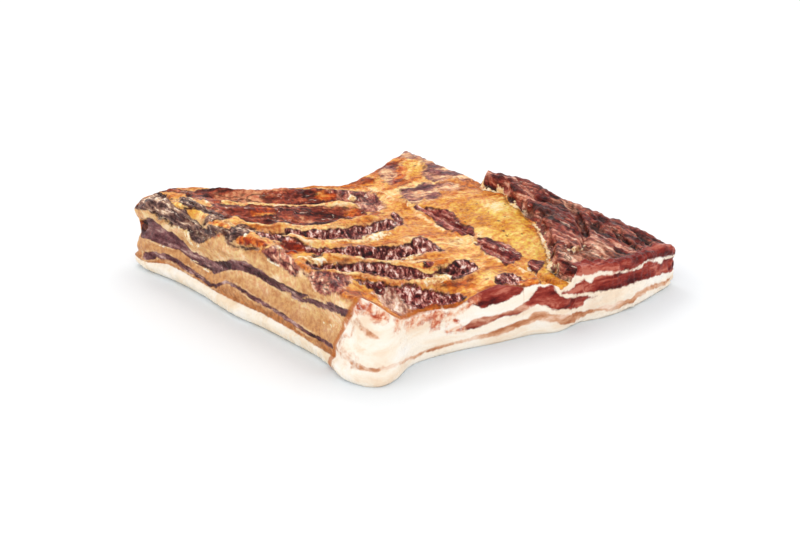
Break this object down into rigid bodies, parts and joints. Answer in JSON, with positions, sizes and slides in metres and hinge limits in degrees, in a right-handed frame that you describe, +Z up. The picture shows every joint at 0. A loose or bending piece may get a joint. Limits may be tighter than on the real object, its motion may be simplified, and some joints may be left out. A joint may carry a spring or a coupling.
{
  "type": "cold-smoked pork belly",
  "caption": "Flat slab of smoked belly meat with layered sides, a fresh cut face, rib beds across the top and a raised ragged flank muscle.",
  "frame": {"origin": "middle of the outline at the level of the surface it lies on", "axes": "+Z up through the thickness; the fresh straight cut faces -Y and the smoked side with the thick end faces -X"},
  "size_m": [0.2941, 0.286, 0.0652],
  "materials": {
    "smoked_meat": "smoked fat and lean, slightly greasy"
  },
  "bodies": {
    "root": {"pork_belly": "smoked_meat"}
  },
  "joints": []
}
